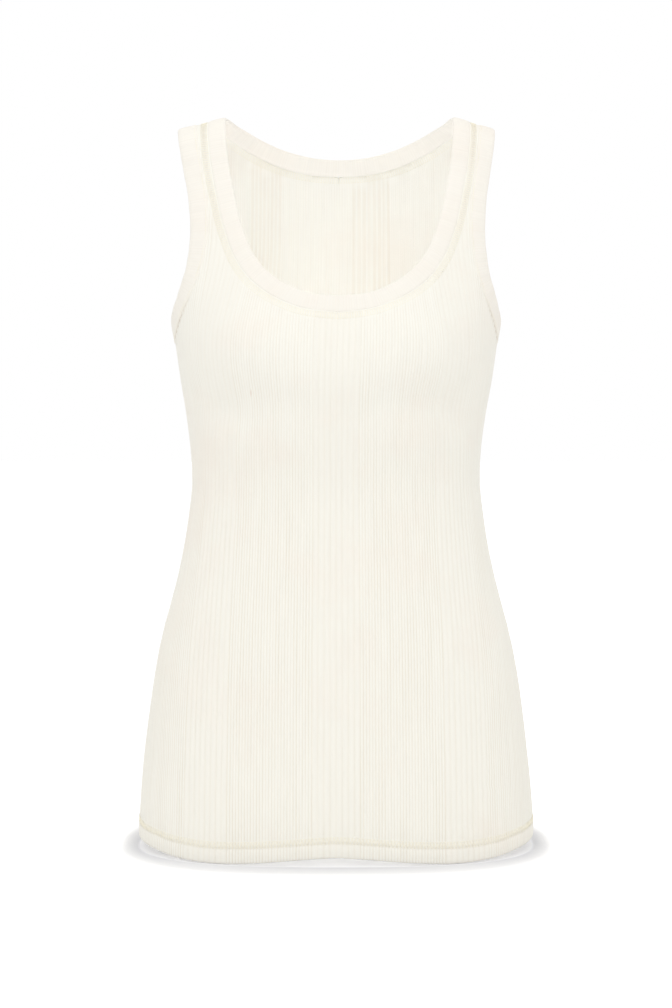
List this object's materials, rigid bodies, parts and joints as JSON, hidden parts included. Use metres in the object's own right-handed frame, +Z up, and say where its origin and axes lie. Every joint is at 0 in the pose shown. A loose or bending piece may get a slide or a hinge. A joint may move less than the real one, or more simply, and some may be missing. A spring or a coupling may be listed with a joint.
{
  "type": "ribbed tank top",
  "caption": "Sleeveless scoop-neck top in variegated rib knit, filled out as worn, with folded bands round the neck and armholes and a turned-up coverstitched hem.",
  "frame": {"origin": "on the centre plane, midway between the two shoulder seams, at the height of the high shoulder points where the wearer's shoulders hold the top up", "axes": "+Z up, -Y towards the front of the garment, +X towards the wearer's left side"},
  "size_m": [0.3472, 0.2418, 0.6402],
  "materials": {
    "rib_knit": "matte cream cotton rib knit, vertical ribs in alternating wide and fine groups",
    "band_knit": "matte cream cotton fine rib, folded double"
  },
  "bodies": {
    "root": {"front_panel": "rib_knit", "back_panel": "rib_knit", "neck_band": "band_knit", "left_armhole_band": "band_knit", "right_armhole_band": "band_knit"}
  },
  "joints": []
}
